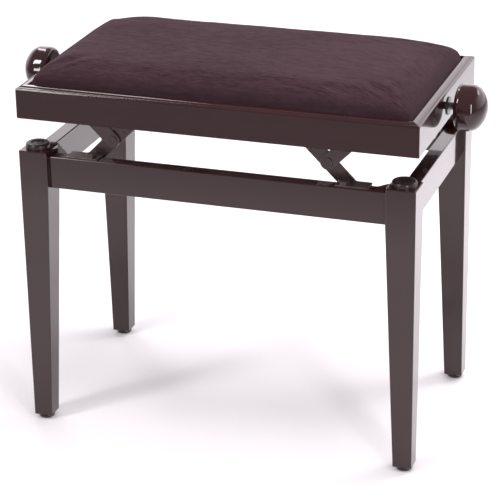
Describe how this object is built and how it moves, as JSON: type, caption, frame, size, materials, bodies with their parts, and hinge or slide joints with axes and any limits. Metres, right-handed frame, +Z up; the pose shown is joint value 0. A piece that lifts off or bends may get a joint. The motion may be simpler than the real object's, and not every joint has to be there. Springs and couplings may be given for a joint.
{
  "type": "adjustable piano bench",
  "caption": "Adjustable piano bench: padded velvet seat in a moulded gloss frame on a four-leg base, raised by a cross spindle with end knobs and folding scissor arms.",
  "frame": {"origin": "on the floor, under the centre of the bench", "axes": "+X along the long side, +Y to the back, +Z up"},
  "size_m": [0.655, 0.316, 0.52],
  "materials": {
    "gloss_lacquer": "polished dark mahogany lacquer",
    "knob_lacquer": "polished dark mahogany lacquer",
    "block_wood": "stained hardwood, satin",
    "plywood": "dark stained plywood",
    "velvet": "crushed plush velvet",
    "bumper_rubber": "soft, satin",
    "glide_plastic": "matte",
    "dark_steel": "dark semi-gloss coated steel",
    "black_hardware": "blackened steel, worn on the heads",
    "zinc_steel": "zinc plated",
    "spindle_steel": "turned dark oiled steel"
  },
  "bodies": {
    "base": {"base_bracket_back_left": "dark_steel", "base_bracket_back_right": "dark_steel", "base_bracket_front_left": "dark_steel", "base_bracket_front_right": "dark_steel", "base_pivot_pins": "black_hardware", "base_rail_back": "gloss_lacquer", "base_rail_front": "gloss_lacquer", "base_rail_left": "gloss_lacquer", "base_rail_right": "gloss_lacquer", "bracket_bolts": "black_hardware", "corner_block_back_left": "block_wood", "corner_block_back_right": "block_wood", "corner_block_front_left": "block_wood", "corner_block_front_right": "block_wood", "corner_block_screws": "zinc_steel", "leg_back_left": "gloss_lacquer", "leg_back_right": "gloss_lacquer", "leg_front_left": "gloss_lacquer", "leg_front_right": "gloss_lacquer", "leg_glides": "glide_plastic", "seat_bumpers": "bumper_rubber"},
    "long_arms_left": {"long_arm_front_left": "dark_steel", "long_arm_back_left": "dark_steel", "centre_rivets_left": "black_hardware"},
    "long_arms_right": {"long_arm_front_right": "dark_steel", "long_arm_back_right": "dark_steel", "centre_rivets_right": "black_hardware"},
    "short_arms_left": {"short_arm_front_left": "dark_steel", "short_arm_back_left": "dark_steel"},
    "short_arms_right": {"short_arm_front_right": "dark_steel", "short_arm_back_right": "dark_steel"},
    "nut_bar_left": {"nut_bar_left": "spindle_steel", "nut_bar_clips_left": "black_hardware"},
    "nut_bar_right": {"nut_bar_right": "spindle_steel", "nut_bar_clips_right": "black_hardware"},
    "spindle": {"spindle": "spindle_steel", "knob_left": "knob_lacquer", "knob_right": "knob_lacquer", "spindle_collar_left": "spindle_steel", "spindle_collar_right": "spindle_steel", "thrust_washers": "zinc_steel", "collar_grub_screws": "zinc_steel"},
    "seat": {"channel_screws": "zinc_steel", "seat_board": "plywood", "seat_channel_back": "dark_steel", "seat_channel_front": "dark_steel", "seat_cushion": "velvet", "seat_pivot_pins": "black_hardware", "seat_rail_back": "gloss_lacquer", "seat_rail_front": "gloss_lacquer", "seat_rail_left": "gloss_lacquer", "seat_rail_right": "gloss_lacquer", "spindle_bush_left": "black_hardware", "spindle_bush_right": "black_hardware"}
  },
  "joints": [
    {"name": "long_arm_swing_left", "type": "hinge", "parent": "base", "child": "long_arms_left", "pos_m": [-0.1955, 0, 0.37066], "axis": [0, 1, 0], "range_deg": [-27, 18.9]},
    {"name": "short_arm_fold_left", "type": "hinge", "parent": "long_arms_left", "child": "short_arms_left", "pos_m": [-0.14883, 0, 0.41733], "axis": [0, 1, 0], "range_deg": [-38, 54.2]},
    {"name": "seat_level_left", "type": "hinge", "parent": "short_arms_left", "child": "seat", "pos_m": [-0.1955, 0, 0.464], "axis": [0, 1, 0], "range_deg": [-27.1, 19]},
    {"name": "nut_bar_tilt_left", "type": "hinge", "parent": "long_arms_left", "child": "nut_bar_left", "pos_m": [-0.10216, 0, 0.464], "axis": [0, 1, 0], "range_deg": [-19, 27.1]},
    {"name": "long_arm_swing_right", "type": "hinge", "parent": "base", "child": "long_arms_right", "pos_m": [0.1955, 0, 0.37066], "axis": [0, 1, 0], "range_deg": [-19, 27.1]},
    {"name": "short_arm_fold_right", "type": "hinge", "parent": "long_arms_right", "child": "short_arms_right", "pos_m": [0.14883, 0, 0.41733], "axis": [0, 1, 0], "range_deg": [-54.2, 38]},
    {"name": "nut_bar_tilt_right", "type": "hinge", "parent": "long_arms_right", "child": "nut_bar_right", "pos_m": [0.10216, 0, 0.464], "axis": [0, 1, 0], "range_deg": [-27.1, 19]},
    {"name": "spindle_turn", "type": "hinge", "parent": "seat", "child": "spindle", "pos_m": [0, 0, 0.464], "axis": [1, 0, 0], "range_deg": [-2280, 3252]}
  ],
  "couplings": [
    {"joint": "short_arm_fold_left", "follows": "long_arm_swing_left", "ratio": -2},
    {"joint": "seat_level_left", "follows": "long_arm_swing_left", "ratio": 1},
    {"joint": "nut_bar_tilt_left", "follows": "long_arm_swing_left", "ratio": -1},
    {"joint": "long_arm_swing_right", "follows": "long_arm_swing_left", "ratio": -1},
    {"joint": "short_arm_fold_right", "follows": "long_arm_swing_left", "ratio": 2},
    {"joint": "nut_bar_tilt_right", "follows": "long_arm_swing_left", "ratio": 1},
    {"joint": "spindle_turn", "follows": "long_arm_swing_left", "ratio": -120}
  ]
}
